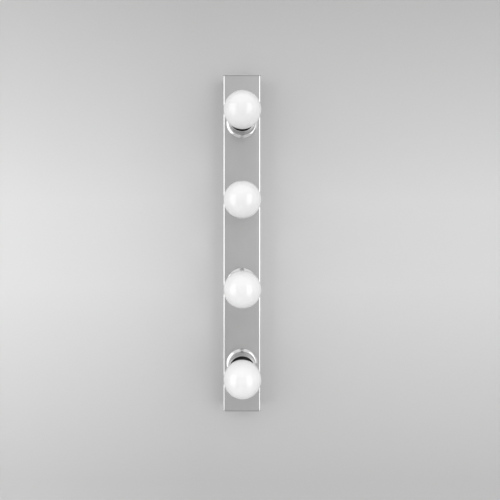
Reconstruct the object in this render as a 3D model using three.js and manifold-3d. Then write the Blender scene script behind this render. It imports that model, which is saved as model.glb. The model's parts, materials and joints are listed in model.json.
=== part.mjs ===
// Vanity light bar: a slim metal channel on a wall plate, with four cups that each hold a screw-in
// globe lamp. Millimetres. +Z is up along the bar, +Y goes into the wall and +X is to the right as
// one faces the bar. The wall plane is y = 0 and the lamps stand out along -Y.
import * as THREE from 'three';
import { mergeVertices } from 'three/addons/utils/BufferGeometryUtils.js';
import Module from 'manifold-3d';

const wasm = await Module();
wasm.setup();

// ---- Driving dimensions -------------------------------------------------------------------------
const gap = 0.3; // clearance between pieces that touch
const hiddenFacets = 16; // round a turned piece that is out of sight
const curveTension = 0.35; // low, so that a wire keeps close to its route

const barLength = 600;
const barWidth = 67;
const barDepth = 32; // wall to front face
const sheet = 1; // steel of the channel, the end caps' flanges and the cups
const cornerRadius = 3;
const endCapPlate = 1.5;
const endCapFlange = 8; // how far an end cap reaches into the channel
const channelStandoff = 0.5; // the channel's back edges clear the wall by this

const lampCount = 4;
const lampSpacing = 143.5;

// Heights from here to the globe are over the bar's front face.
const cup = {
  height: 29,
  footRadius: 27.7,
  footEdge: 0.9, // height of the foot's upright edge
  footCurve: 7.9, // radius of the domed foot, which is a part of its circle, in degrees
  footFrom: 40,
  footTo: 75,
  wallRadius: 23.5, // the wall's outside where it leaves the foot
  wallStart: 4,
  mouthRadius: 22.8,
};
const holder = {
  radius: 20,
  rimHeight: 27,
  boreRadius: 14.9,
  threadRadius: 18, // the part behind the cup, which goes through the face
  wall: 2.5,
  floor: 3,
  rear: 17, // how far it reaches behind the face
};
const nut = { acrossCorners: 50, thickness: 5 };
const thread = { pitch: 3.629, depth: 0.8, turns: 4 }; // 7 threads per inch
const holderShell = { crestRadius: 13.4, threadStart: 2.2, height: 20, sheet: 0.5, holeRadius: 7 };
const holderStrip = { width: 5, sheet: 0.5 };
const lampCap = {
  bottom: 7.9,
  holeRadius: 10.9, // the bottom's opening, round the end contact's bead
  threadStart: 8.6,
  crestRadius: 13.05,
  top: 28.5,
  sheet: 0.5,
};
const lampTip = 3; // height of a seated lamp's end contact
const collar = { wall: 1.3, neckDepth: 3.2, flareTop: 58.3, ledgeRadius: 19, ledgeDrop: 2.9 };
const ledBoard = { thickness: 1.6 };
const globe = { radius: 30.25, centre: 83, rimHeight: 63.6, wall: 1.2 };

// Heights along the bar are offsets from its middle, and depths are from the wall.
const wallPlate = { width: 58, sheet: 1.2, flangeHeight: 8, flangeLength: 540 };
const tab = { width: 24, sheet: 1.5, depth: 20 }; // the wall plate's ends, which take the cover screws
const coverScrewDepth = 12;
const coverScrew = { headRadius: 3.8, headHeight: 2.2, shankRadius: 1.95, length: 9 };
const fixingSlot = { offset: 250, radius: 2.5, length: 14 };
const cableHole = { offset: -26, radius: 8 };
const bushing = { passage: 5.8, flangeRadius: 10.5, flangeThickness: 2.1, chamfer: 0.7 };
const block = { offset: 30, width: 26, length: 20, height: 14 };
const pole = { pitch: 8, depth: 8, boreRadius: 1.9, wellRadius: 1.6, wellOffset: 5 };
const blockScrew = { headRadius: 2.8, headHeight: 2, shankRadius: 1.4 };
const earthScrew = { offset: 58, headRadius: 3.6, headHeight: 2.4, shankRadius: 1.9, length: 2 };
const ringTag = { radius: 5, thickness: 0.8 };
const wireRadius = 1.2;
const earthWireRadius = 1;

// ---- Derived sizes ------------------------------------------------------------------------------
const halfWidth = barWidth / 2;
const channelLength = barLength - 2 * (endCapPlate + gap);
const endCapInnerFace = barLength / 2 - endCapPlate;
const tabOuterFace = endCapInnerFace - gap;
const holderClearance = holder.threadRadius + 0.5;
const globeRimRadius = Math.sqrt(globe.radius ** 2 - (globe.centre - globe.rimHeight) ** 2);
const collarTop = globe.rimHeight - gap;
const collarNeck = lampCap.crestRadius - lampCap.sheet - gap; // the collar's neck fits inside the cap
const gearFoot = wallPlate.sheet + gap; // wall to the foot of whatever sits on the plate
const blockFront = gearFoot + block.height;
const lampHeights = Array.from({ length: lampCount }, (_, i) => ((lampCount - 1) / 2 - i) * lampSpacing);

const finishes = {
  satinSteel: { color: 0xb0b0b0, roughness: 0.4, metalness: 1 },
  chrome: { color: 0xe6e6e6, roughness: 0.08, metalness: 1 },
  zincSteel: { color: 0xa8abad, roughness: 0.45, metalness: 1 },
  blackPhenolic: { color: 0x0b0b0b, roughness: 0.5, metalness: 0 },
  nickelBrass: { color: 0xc4bfae, roughness: 0.3, metalness: 1 },
  springBronze: { color: 0xb8935a, roughness: 0.35, metalness: 1 },
  opal: { color: 0xf2f2f2, roughness: 0.15, metalness: 0 },
  whitePlastic: { color: 0xe8e8e6, roughness: 0.45, metalness: 0 },
  boardWhite: { color: 0xe4e6e4, roughness: 0.5, metalness: 0 },
  greyRubber: { color: 0x2a2a2a, roughness: 0.8, metalness: 0 },
  liveBrown: { color: 0x5a321c, roughness: 0.5, metalness: 0 },
  neutralBlue: { color: 0x2a5a9a, roughness: 0.5, metalness: 0 },
  earthGreen: { color: 0x5a8a2a, roughness: 0.5, metalness: 0 },
};

// ---- Geometry helpers ---------------------------------------------------------------------------
function toSolid(geometry) {
  const bare = geometry.clone();
  bare.deleteAttribute('normal');
  bare.deleteAttribute('uv');
  const welded = mergeVertices(bare, 1e-4);
  const vertProperties = new Float32Array(welded.attributes.position.array);
  const triVerts = new Uint32Array(welded.index.array);
  return new wasm.Manifold(new wasm.Mesh({ numProp: 3, vertProperties, triVerts }));
}

function toGeometry(solid) {
  const { vertProperties, triVerts } = solid.getMesh();
  const geometry = new THREE.BufferGeometry();
  geometry.setAttribute('position', new THREE.BufferAttribute(vertProperties, 3));
  geometry.setIndex(new THREE.BufferAttribute(triVerts, 1));
  geometry.computeVertexNormals();
  return geometry;
}

function join(...geometries) {
  return toGeometry(geometries.map(toSolid).reduce((whole, next) => whole.add(next)));
}

function cut(geometry, ...tools) {
  return toGeometry(tools.map(toSolid).reduce((left, tool) => left.subtract(tool), toSolid(geometry)));
}

// A solid turned about the Y axis from [radius, height] points, which run anticlockwise round the
// section. A section off the axis closes on itself.
function turned(points, facets = 20) {
  const profile = points.map(([radius, height]) => new THREE.Vector2(radius, height));
  if (points[0][0] > 0) profile.push(profile[0].clone());
  return new THREE.LatheGeometry(profile, facets);
}

// [radius, height] points of an arc about a centre, from one angle to another in degrees.
function arc(centreRadius, centreHeight, radius, from, to, steps) {
  return Array.from({ length: steps + 1 }, (_, i) => {
    const angle = THREE.MathUtils.degToRad(from + ((to - from) * i) / steps);
    return [centreRadius + radius * Math.cos(angle), centreHeight + radius * Math.sin(angle)];
  });
}

function box(low, high) {
  const size = high.map((value, i) => value - low[i]);
  const middle = high.map((value, i) => (value + low[i]) / 2);
  return new THREE.BoxGeometry(...size).translate(...middle);
}

function rodAlongY(radius, x, z, from, to, facets = 20) {
  return new THREE.CylinderGeometry(radius, radius, to - from, facets).translate(x, (from + to) / 2, z);
}

function rodAlongZ(radius, x, y, from, to, facets = 16) {
  const rod = new THREE.CylinderGeometry(radius, radius, to - from, facets).rotateX(Math.PI / 2);
  return rod.translate(x, y, (from + to) / 2);
}

function extruded(shape, depth, curveSegments = 4) {
  return new THREE.ExtrudeGeometry(shape, { depth, bevelEnabled: false, curveSegments });
}

// A plate on the wall plane, from a shape whose x runs along X and whose y runs along Z.
function plateOnWall(shape, thickness) {
  return extruded(shape, thickness, 10).rotateX(Math.PI / 2);
}

function tube(points, radius, steps) {
  const section = new THREE.Shape().absarc(0, 0, radius, 0, 2 * Math.PI);
  const route = points.map((point) => new THREE.Vector3(...point));
  const extrudePath = new THREE.CatmullRomCurve3(route, false, 'catmullrom', curveTension);
  return new THREE.ExtrudeGeometry(section, { steps, extrudePath, bevelEnabled: false, curveSegments: 4 });
}

function circle(x, y, radius) {
  return new THREE.Path().absarc(x, y, radius, 0, 2 * Math.PI);
}

// Two numbers in rising order, each times the side's sign.
function mirrored(side, near, far) {
  return [side * near, side * far].sort((a, b) => a - b);
}

function piece(name, geometry, finish) {
  const mesh = new THREE.Mesh(geometry, new THREE.MeshStandardMaterial(finishes[finish]));
  mesh.name = name;
  return mesh;
}

// ---- Housing: channel, end caps, wall plate and their screws ------------------------------------
// The bar's outline in plan: a front with two rounded corners and a straight back edge. An inset
// outline lies that far inside the bar's own.
function traceFront(path, inset, back) {
  const side = halfWidth - inset;
  const front = -barDepth + inset;
  const radius = cornerRadius - inset;
  path.moveTo(-side, back);
  path.lineTo(-side, front + radius);
  path.absarc(-side + radius, front + radius, radius, Math.PI, 1.5 * Math.PI);
  path.absarc(side - radius, front + radius, radius, 1.5 * Math.PI, 2 * Math.PI);
  path.lineTo(side, back);
  return path;
}

// A folded channel section whose outside lies `inset` inside the bar's outline.
function channelSection(inset, back) {
  const section = traceFront(new THREE.Shape(), inset, back);
  const inside = traceFront(new THREE.Path(), inset + sheet, back).getPoints(4);
  inside.reverse().forEach((point) => section.lineTo(point.x, point.y));
  return section;
}

function frontChannel() {
  const folded = extruded(channelSection(0, -channelStandoff), channelLength);
  const body = folded.translate(0, 0, -channelLength / 2);
  const throughFace = [-barDepth - 1, -barDepth + 2 * sheet];
  const holes = lampHeights.map((z) => rodAlongY(holderClearance, 0, z, ...throughFace));
  return piece('front_channel', cut(body, ...holes), 'satinSteel');
}

// side is +1 for the top end cap and -1 for the bottom one. The flange starts half way through the
// plate, so that the two join into one body.
function endCap(name, side) {
  const flangeLength = endCapFlange + endCapPlate / 2;
  const plate = extruded(traceFront(new THREE.Shape(), 0, -channelStandoff), endCapPlate);
  const flange = extruded(channelSection(sheet + gap, -channelStandoff - gap), flangeLength);
  const [plateFoot] = mirrored(side, endCapInnerFace, barLength / 2);
  const [flangeFoot] = mirrored(side, endCapInnerFace - endCapFlange, endCapInnerFace + endCapPlate / 2);
  const whole = join(plate.translate(0, 0, plateFoot), flange.translate(0, 0, flangeFoot));
  const throughPlate = mirrored(side, endCapInnerFace - 1, barLength / 2 + 1);
  const hole = rodAlongZ(coverScrew.shankRadius + gap, 0, -coverScrewDepth, ...throughPlate);
  return piece(name, cut(whole, hole), 'satinSteel');
}

// A pan-head screw turned about Y: head up, shank down from the origin, with a cross recess.
function panHeadScrew({ headRadius, headHeight, shankRadius }, length) {
  const body = turned([
    [0, -length],
    [shankRadius * 0.7, -length],
    [shankRadius, -length + shankRadius * 0.6],
    [shankRadius, 0],
    [headRadius, 0],
    [headRadius, headHeight * 0.55],
    [headRadius * 0.72, headHeight],
    [0, headHeight],
  ], hiddenFacets);
  const recessReach = headRadius * 0.6;
  const recessHalfWidth = headRadius * 0.13;
  const recessFloor = headHeight * 0.45;
  const recessTop = headHeight + 1;
  const slotX = box([-recessReach, recessFloor, -recessHalfWidth], [recessReach, recessTop, recessHalfWidth]);
  const slotZ = slotX.clone().rotateY(Math.PI / 2);
  return cut(body, slotX, slotZ);
}

function coverScrewPiece(name, side) {
  const screw = piece(name, panHeadScrew(coverScrew, coverScrew.length), 'chrome');
  screw.rotation.x = (side * Math.PI) / 2;
  screw.position.set(0, -coverScrewDepth, side * (barLength / 2 + gap));
  return screw;
}

function fixingSlotPath(side) {
  const reach = fixingSlot.length / 2 - fixingSlot.radius;
  const centre = side * fixingSlot.offset;
  const slot = new THREE.Path();
  slot.absarc(0, centre + reach, fixingSlot.radius, 0, Math.PI);
  slot.absarc(0, centre - reach, fixingSlot.radius, Math.PI, 2 * Math.PI);
  return slot;
}

function wallPlatePiece() {
  const half = wallPlate.width / 2;
  const strip = new THREE.Shape();
  strip.moveTo(-half, -tabOuterFace);
  strip.lineTo(half, -tabOuterFace);
  strip.lineTo(half, tabOuterFace);
  strip.lineTo(-half, tabOuterFace);
  strip.closePath();
  strip.holes.push(
    fixingSlotPath(1),
    fixingSlotPath(-1),
    circle(0, cableHole.offset, cableHole.radius),
    circle(0, earthScrew.offset, earthScrew.shankRadius + gap),
    circle(pole.pitch / 2, block.offset, blockScrew.shankRadius + gap),
  );
  const flanges = [-1, 1].map((side) => {
    const [left, right] = mirrored(side, half - wallPlate.sheet, half);
    const reach = wallPlate.flangeLength / 2;
    return box([left, -wallPlate.flangeHeight, -reach], [right, 0, reach]);
  });
  const tabs = [-1, 1].map((side) => {
    const [low, high] = mirrored(side, tabOuterFace - tab.sheet, tabOuterFace);
    return box([-tab.width / 2, -tab.depth, low], [tab.width / 2, 0, high]);
  });
  const whole = join(plateOnWall(strip, wallPlate.sheet), ...flanges, ...tabs);
  const screwReach = barLength / 2;
  const tabHoles = rodAlongZ(coverScrew.shankRadius + gap, 0, -coverScrewDepth, -screwReach, screwReach);
  return piece('wall_plate', cut(whole, tabHoles), 'zincSteel');
}

// ---- Lamp station: everything on one lamp's axis, as [radius, height over the face] --------------
function cupPiece(name) {
  const [[footReach, footRise]] = arc(0, 0, cup.footCurve, cup.footFrom, cup.footTo, 1);
  const footCentre = [cup.footRadius - footReach, cup.footEdge - footRise];
  const geometry = turned([
    [holderClearance, gap],
    [cup.footRadius, gap],
    ...arc(...footCentre, cup.footCurve, cup.footFrom, cup.footTo, 4),
    [cup.wallRadius, cup.wallStart],
    [cup.mouthRadius, cup.height],
    [cup.mouthRadius - sheet, cup.height],
    [cup.wallRadius - sheet, cup.wallStart],
    [cup.wallRadius - sheet, gap + sheet],
    [holderClearance, gap + sheet],
  ]);
  return piece(name, geometry, 'chrome');
}

function holderBody(name) {
  const shoulder = gap + sheet + gap; // it rests on the cup's floor
  const rearBore = holder.threadRadius - holder.wall;
  const geometry = turned([
    [0, -holder.floor],
    [rearBore, -holder.floor],
    [rearBore, -holder.rear],
    [holder.threadRadius, -holder.rear],
    [holder.threadRadius, shoulder],
    [holder.radius, shoulder],
    [holder.radius, holder.rimHeight],
    [holder.boreRadius, holder.rimHeight],
    [holder.boreRadius, 0],
    [0, 0],
  ]);
  return piece(name, geometry, 'blackPhenolic');
}

// The nut clamps the cup and the lampholder to the face, from behind it.
function ringNut(name) {
  const corners = Array.from({ length: 6 }, (_, i) => {
    const angle = (i * Math.PI) / 3;
    return new THREE.Vector2(Math.cos(angle), Math.sin(angle)).multiplyScalar(nut.acrossCorners / 2);
  });
  const hexagon = new THREE.Shape(corners);
  hexagon.holes.push(circle(0, 0, holder.threadRadius + gap));
  const geometry = extruded(hexagon, nut.thickness, 12).rotateX(Math.PI / 2).translate(0, -sheet - gap, 0);
  return piece(name, geometry, 'blackPhenolic');
}

// Radii and heights of a rolled thread's roots and crests, upwards from a start height.
function rolledThread(crestRadius, start) {
  const points = [];
  for (let turn = 0; turn < thread.turns; turn += 1) {
    const foot = start + turn * thread.pitch;
    points.push([crestRadius - thread.depth, foot]);
    points.push([crestRadius, foot + thread.pitch / 2]);
  }
  points.push([crestRadius - thread.depth, start + thread.turns * thread.pitch]);
  return points;
}

// The shell's thread bulges outwards, and its narrowest bore clears the lamp cap's widest crest.
function holderShellPiece(name) {
  const bore = holderShell.crestRadius;
  const outside = bore + holderShell.sheet;
  const inner = rolledThread(bore + thread.depth, holderShell.threadStart);
  const outer = inner.map(([radius, height]) => [radius + holderShell.sheet - 0.1, height]);
  const geometry = turned([
    [holderShell.holeRadius, gap],
    [outside, gap],
    ...outer,
    [outside, holderShell.height],
    [bore, holderShell.height],
    ...inner.reverse(),
    [bore, gap + holderShell.sheet],
    [holderShell.holeRadius, gap + holderShell.sheet],
  ], hiddenFacets);
  return piece(name, geometry, 'nickelBrass');
}

// A strip lies on the lampholder's floor and rises to meet the lamp's end contact.
function holderContactPiece(name) {
  const low = gap + holderStrip.sheet;
  const high = lampTip - gap;
  const line = [[-6, low], [-2, low], [1.5, high], [4, high], [5.2, high - 0.7]];
  const upper = line.map(([x, y]) => new THREE.Vector2(x, y));
  const lower = line.map(([x, y]) => new THREE.Vector2(x, y - holderStrip.sheet)).reverse();
  const strip = extruded(new THREE.Shape([...upper, ...lower]), holderStrip.width);
  return piece(name, strip.translate(0, 0, -holderStrip.width / 2), 'springBronze');
}

function lampCapPiece(name) {
  const threadEnd = lampCap.threadStart + thread.turns * thread.pitch;
  const neck = [lampCap.crestRadius, threadEnd + thread.pitch / 2];
  const outer = [...rolledThread(lampCap.crestRadius, lampCap.threadStart), neck];
  const inner = outer.map(([radius, height]) => [radius - lampCap.sheet, height]).reverse();
  const geometry = turned([
    [lampCap.holeRadius, lampCap.bottom],
    ...outer,
    [lampCap.crestRadius, lampCap.top],
    [lampCap.crestRadius - lampCap.sheet, lampCap.top],
    ...inner,
    [lampCap.holeRadius, lampCap.bottom + lampCap.sheet],
  ], hiddenFacets);
  return piece(name, geometry, 'nickelBrass');
}

// The end contact with the insulating bead that holds it in the cap's mouth.
function lampContactPiece(name) {
  const beadTop = lampCap.bottom - gap;
  const beadRadius = lampCap.holeRadius - 0.6;
  const geometry = turned([
    [0, lampTip],
    [3.6, lampTip + 0.2],
    [4.8, lampTip + 1],
    [5.2, lampTip + 1.8],
    [beadRadius, beadTop - 0.6],
    [beadRadius, beadTop],
    [0, beadTop],
  ], hiddenFacets);
  return piece(name, geometry, 'nickelBrass');
}

// A hollow housing that flares from the cap to the globe's rim, with a ledge for the LED board.
function lampCollarPiece(name) {
  const neckFoot = lampCap.top - collar.neckDepth;
  const shoulder = lampCap.top + gap;
  const ledge = collarTop - collar.ledgeDrop;
  const geometry = turned([
    [collarNeck, neckFoot],
    [collarNeck, shoulder],
    [lampCap.crestRadius + 1.3, shoulder],
    [lampCap.crestRadius + 1.8, shoulder + 5],
    [lampCap.crestRadius + 3.6, shoulder + 16],
    [globeRimRadius - 1.6, collar.flareTop],
    [globeRimRadius, collarTop],
    [globeRimRadius - collar.wall, collarTop],
    [globeRimRadius - collar.wall, ledge],
    [collar.ledgeRadius, ledge],
    [collar.ledgeRadius, collar.flareTop],
    [lampCap.crestRadius + 1.8, shoulder + 16],
    [collarNeck - collar.wall, shoulder + 3],
    [collarNeck - collar.wall, neckFoot],
  ]);
  return piece(name, geometry, 'whitePlastic');
}

function ledBoardPiece(name) {
  const radius = globeRimRadius - collar.wall - gap;
  const foot = collarTop - collar.ledgeDrop + gap;
  const top = foot + ledBoard.thickness;
  const disc = turned([[0, foot], [radius, foot], [radius, top], [0, top]], hiddenFacets);
  return piece(name, disc, 'boardWhite');
}

// The angle of the globe's rim seen from its centre, below the horizontal, in degrees.
function rimAngle(radius) {
  return THREE.MathUtils.radToDeg(Math.asin((globe.rimHeight - globe.centre) / radius));
}

function globePiece(name) {
  const innerRadius = globe.radius - globe.wall;
  const inside = arc(0, globe.centre, innerRadius, 90, rimAngle(innerRadius), 7);
  const outside = arc(0, globe.centre, globe.radius, rimAngle(globe.radius), 90, 8);
  const crowns = [inside[0], outside[outside.length - 1]];
  crowns.forEach((crown) => {
    crown[0] = 0; // exactly on the axis
  });
  return piece(name, turned([...inside, ...outside]), 'opal');
}

// A station's own +Y points out of the face, so it is turned half round about X.
function lampStation(number, height) {
  const station = new THREE.Group();
  station.position.set(0, -barDepth, height);
  station.rotation.x = Math.PI;
  station.add(
    cupPiece(`cup_${number}`),
    holderBody(`lampholder_${number}`),
    ringNut(`lampholder_nut_${number}`),
    holderShellPiece(`lampholder_shell_${number}`),
    holderContactPiece(`lampholder_contact_${number}`),
    globePiece(`globe_${number}`),
    lampCollarPiece(`lamp_collar_${number}`),
    ledBoardPiece(`led_board_${number}`),
    lampCapPiece(`lamp_cap_${number}`),
    lampContactPiece(`lamp_contact_${number}`),
  );
  return station;
}

// ---- Wiring gear on the wall plate --------------------------------------------------------------
function cableBushing() {
  const sleeve = cableHole.radius - gap;
  const top = gearFoot + bushing.flangeThickness;
  const geometry = turned([
    [bushing.passage, gap],
    [sleeve, gap],
    [sleeve, gearFoot],
    [bushing.flangeRadius, gearFoot],
    [bushing.flangeRadius, top - bushing.chamfer],
    [bushing.flangeRadius - bushing.chamfer, top],
    [bushing.passage, top],
  ]);
  const grommet = piece('cable_bushing', geometry, 'greyRubber');
  grommet.rotation.x = Math.PI;
  grommet.position.z = cableHole.offset;
  return grommet;
}

// Three poles side by side. Each has a bore for the wires and a well over each end for its screw.
function terminalBlock() {
  const low = [-block.width / 2, -blockFront, block.offset - block.length / 2];
  const high = [block.width / 2, -gearFoot, block.offset + block.length / 2];
  const poles = [-pole.pitch, 0, pole.pitch];
  const boreReach = [block.offset - block.length, block.offset + block.length];
  const bores = poles.map((x) => rodAlongZ(pole.boreRadius, x, -pole.depth, ...boreReach, 12));
  const wells = poles.flatMap((x) =>
    [-pole.wellOffset, pole.wellOffset].map((z) =>
      rodAlongY(pole.wellRadius, x, block.offset + z, -blockFront - 1, -pole.depth, 12),
    ),
  );
  const screwHole = blockScrew.shankRadius + gap;
  const fixing = rodAlongY(screwHole, pole.pitch / 2, block.offset, -blockFront - 1, 0, 12);
  return piece('terminal_block', cut(box(low, high), ...bores, ...wells, fixing), 'whitePlastic');
}

function screwOnWall(name, sizes, x, depth, z, length) {
  const screw = piece(name, panHeadScrew(sizes, length), 'zincSteel');
  screw.rotation.x = Math.PI;
  screw.position.set(x, -depth, z);
  return screw;
}

// ---- Wires: the cores run in lanes beside the lampholders, at set depths from the wall -----------
const laneDepth = 8.5;
const linkLane = 18.5; // how far the wires from lamp to lamp run from the bar's middle
const feedLane = 23.5; // the same for the wires that feed the first lamp
const crossingDepth = 12.5; // the feed wires pass in front of the link wires here
const dropDepth = 14; // the wires turn from a lampholder's terminal here
const terminalDepth = 21; // a wire's bared end in a lampholder
const terminalStep = 4; // the wires coming in and going on sit this far each side of the lamp axis
const blockEnd = block.offset + 4; // the bared ends in the terminal block

// Points that take a wire from a lampholder's terminal to the lane, leaving up (+1) or down (-1).
function holderEnd(side, height, way) {
  const x = side * pole.pitch;
  return [
    [x, -terminalDepth, height + way * terminalStep],
    [x, -dropDepth, height + way * terminalStep],
    [x + side * 2.5, -laneDepth - 1.1, height + way * 11],
    [side * linkLane, -laneDepth, height + way * 28],
  ];
}

function feedWire(name, side, finish) {
  const top = lampHeights[0];
  const points = [
    [side * pole.pitch, -pole.depth, blockEnd],
    [side * pole.pitch, -pole.depth, blockEnd + 7],
    [side * (pole.pitch + 4), -crossingDepth, blockEnd + 15],
    [side * linkLane, -crossingDepth, blockEnd + 22],
    [side * feedLane, -laneDepth - 1, blockEnd + 32],
    [side * feedLane, -laneDepth, blockEnd + 46],
    [side * feedLane, -laneDepth, top - 30],
    [side * 12.5, -laneDepth - 2, top - 3],
    [side * pole.pitch, -dropDepth, top + terminalStep],
    [side * pole.pitch, -terminalDepth, top + terminalStep],
  ];
  return piece(name, tube(points, wireRadius, 24), finish);
}

function linkWire(name, side, upper, lower, finish) {
  const down = holderEnd(side, upper, -1);
  const up = holderEnd(side, lower, 1).reverse();
  return piece(name, tube([...down, ...up], wireRadius, 15), finish);
}

function poleWires(word, side, finish) {
  const links = lampHeights.slice(1).map((lower, i) =>
    linkWire(`${word}_wire_${i + 2}`, side, lampHeights[i], lower, finish),
  );
  return [feedWire(`${word}_wire_1`, side, finish), ...links];
}

// The earth wire runs from the block's middle pole to a ring tag under the earth screw.
function earthWire() {
  const tagFront = gearFoot + ringTag.thickness;
  const tagEdge = earthScrew.offset - ringTag.radius;
  const points = [
    [0, -pole.depth, blockEnd],
    [0, -pole.depth, blockEnd + 9],
    [0, -pole.depth + 2.6, blockEnd + 14],
    [0, -tagFront - 0.6, tagEdge - 1.5],
    [0, -tagFront - 0.1, tagEdge + 0.9],
  ];
  const tag = rodAlongY(ringTag.radius, 0, earthScrew.offset, -tagFront, -gearFoot, 16);
  const hole = rodAlongY(earthScrew.shankRadius + gap, 0, earthScrew.offset, -2 * tagFront, 0, 16);
  return piece('earth_wire', cut(join(tube(points, earthWireRadius, 12), tag), hole), 'earthGreen');
}

function blockScrewPiece() {
  const underHead = blockFront + gap;
  const length = underHead - 0.5; // it stops short of the wall
  return screwOnWall('terminal_block_screw', blockScrew, pole.pitch / 2, underHead, block.offset, length);
}

function earthScrewPiece() {
  const underHead = gearFoot + ringTag.thickness + gap;
  return screwOnWall('earth_screw', earthScrew, 0, underHead, earthScrew.offset, earthScrew.length);
}

// ---- The whole bar ------------------------------------------------------------------------------
const lightBar = new THREE.Group();
lightBar.add(
  frontChannel(),
  endCap('end_cap_top', 1),
  endCap('end_cap_bottom', -1),
  coverScrewPiece('cover_screw_top', 1),
  coverScrewPiece('cover_screw_bottom', -1),
  wallPlatePiece(),
  cableBushing(),
  terminalBlock(),
  blockScrewPiece(),
  earthScrewPiece(),
  earthWire(),
  ...poleWires('live', -1, 'liveBrown'),
  ...poleWires('neutral', 1, 'neutralBlue'),
  ...lampHeights.map((height, i) => lampStation(i + 1, height)),
);

export default lightBar;
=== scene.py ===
import json
import math
from types import SimpleNamespace as Sizes

import bmesh
import bpy
from mathutils import Matrix, Vector


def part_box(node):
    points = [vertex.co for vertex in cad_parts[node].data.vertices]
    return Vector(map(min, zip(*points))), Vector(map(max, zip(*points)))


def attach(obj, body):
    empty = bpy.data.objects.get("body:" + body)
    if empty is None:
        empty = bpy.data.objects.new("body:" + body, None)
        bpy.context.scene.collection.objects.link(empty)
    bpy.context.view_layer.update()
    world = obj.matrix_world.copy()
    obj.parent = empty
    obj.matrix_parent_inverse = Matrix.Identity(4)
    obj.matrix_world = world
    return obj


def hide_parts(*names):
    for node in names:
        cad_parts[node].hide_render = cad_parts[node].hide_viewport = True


# Vanity light bar: the looks. Metres, in the frame of the CAD model: +Z is up along the bar, +Y goes
# into the wall, the wall plane is y = 0 and the lamps stand out along -Y.
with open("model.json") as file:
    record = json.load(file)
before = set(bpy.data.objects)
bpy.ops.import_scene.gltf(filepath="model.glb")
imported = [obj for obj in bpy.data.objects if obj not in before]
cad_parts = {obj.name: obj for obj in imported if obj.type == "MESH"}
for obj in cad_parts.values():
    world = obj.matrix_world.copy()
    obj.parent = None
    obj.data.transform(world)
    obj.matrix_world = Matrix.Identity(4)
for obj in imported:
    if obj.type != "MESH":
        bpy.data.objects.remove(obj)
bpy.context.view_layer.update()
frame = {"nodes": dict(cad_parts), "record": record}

MM = 0.001

# ---- Places, from the CAD nodes -----------------------------------------------------------------
LAMPS = (1, 2, 3, 4)
ENDS = {"top": 1, "bottom": -1}
POLES = (-1, 0, 1)


def box_mm(node):
    """A CAD node's lowest and highest corners in millimetres."""
    low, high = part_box(node)
    return low / MM, high / MM


def middle_mm(node):
    low, high = box_mm(node)
    return (low + high) / 2


channel_low, channel_high = box_mm("front_channel")
FACE = channel_low.y  # the bar's front face
HALF_WIDTH = channel_high.x
STATIONS = {n: middle_mm(f"cup_{n}").z for n in LAMPS}

# ---- Dimensions in millimetres. A station's heights are over the bar's face. --------------------
GAP = 0.3  # between pieces that touch
SHEET = 1.0  # steel of the channel, the end caps' flanges and the cups
SHARP = 0  # fillets of an outline's plain corners
FINE = 0.2
EASED = 0.3
CORNER = 3.0  # outer radius of the channel's bends
END_PLATE = 1.0  # a little thinner than the CAD's, so that a dark seam shows beside it
END_RIM = 0.45  # radius of an end cap's polished outer rim
HOLE_RADIUS = 18.5  # through the face, round the lampholder
CUP = Sizes(
    height=29, foot_radius=27.7, foot_edge=0.9, foot_curve=16, foot_from=50, foot_to=64,
    wall_radius=23.5, wall_start=4, inner_bend=0.8, mouth_radius=22.8, lip=0.35, seat=0.02,
)
HOLDER = Sizes(
    radius=20, rim=27, shoulder=1.6, bore=14.9, thread_radius=18, rear_bore=15.5, floor=3, rear=17,
    groove_out=17.2, groove_in=16.4, groove_depth=0.8, thread_pitch=2, thread_depth=0.5,
    edge=0.5, rim_edge=0.9, groove_edge=0.4, bore_edge=0.6,
)
NUT = Sizes(across_corners=50, thickness=5, bore=18.3, corner=1.5)
THREAD = Sizes(pitch=3.629, depth=0.8)  # the lamp's
SHELL = Sizes(
    bore=13.4, sheet=0.5, height=20, hole=7, wall_from=1.2, wall_to=19, thread_from=1.5, thread_to=18.5,
)
STRIP = Sizes(
    width=5, sheet=0.5, start=-6, ramp_from=-2, ramp_to=1.5, ramp_bend=1.5, crown_end=4,
    crown_bend=0.8, tail=5.2, tail_drop=0.7, low=0.8, high=2.7,
)
CAP = Sizes(
    bottom=7.9, hole=10.9, bend_start=11.8, bend_inside=12, bend_radius=12.6, bend_top=8.6, radius=13.05,
    sheet=0.5, edge=0.1, top=28.5, thread_from=7.1, thread_to=24,
)
CONTACT = Sizes(
    tip=3, flat=2, flat_height=3.05, button=3.6, button_height=3.35, edge=4.8, edge_height=4, collar=5.2,
    bead_radius=10.3, bead_foot=4.8, bead_side=6.8, bead_edge=0.6, bead_top=7.6,
)
COLLAR = Sizes(
    neck=12.25, wall=1.3, neck_foot=25.3, shoulder=28.8, shoulder_radius=14.35, shoulder_edge=0.5,
    shoulder_inside=31.8, throat=14.85, throat_height=33.8, throat_curve=6, waist=16.65,
    waist_height=44.8, waist_curve=30, waist_wall=1.8, flare=21.61, flare_top=58.3, flare_curve=12,
    rim=23.21, top=63.3,
)
LEDGE = Sizes(radius=19, height=60.4)
BOARD = Sizes(radius=21.6, foot=60.7, top=62.3)
CHIP = Sizes(width=2.8, length=3.5, height=0.7, sunk=0.2)
CHIP_RINGS = {15: 12, 7: 6}  # how many LEDs stand at each radius
GLOBE = Sizes(radius=30.25, wall=1.2, centre=83, rim=63.6)
PLATE = Sizes(
    sheet=1.2, bend=2.0, inner_bend=0.8, corner=4, flange_height=8, flange_reach=270, notch=1.6,
    notch_reach=271,
)
TAB = Sizes(half_width=12, sheet=1.5, depth=20, bend=2.2, root=285)
SLOT = Sizes(offset=250, radius=2.5, length=14)
CABLE_HOLE = 8
BUSHING = Sizes(
    passage=5.8, sleeve=7.7, flange=10.5, foot=1.5, top=3.6, foot_edge=0.4, flange_edge=0.9,
    mouth_edge=0.7,
)
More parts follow.
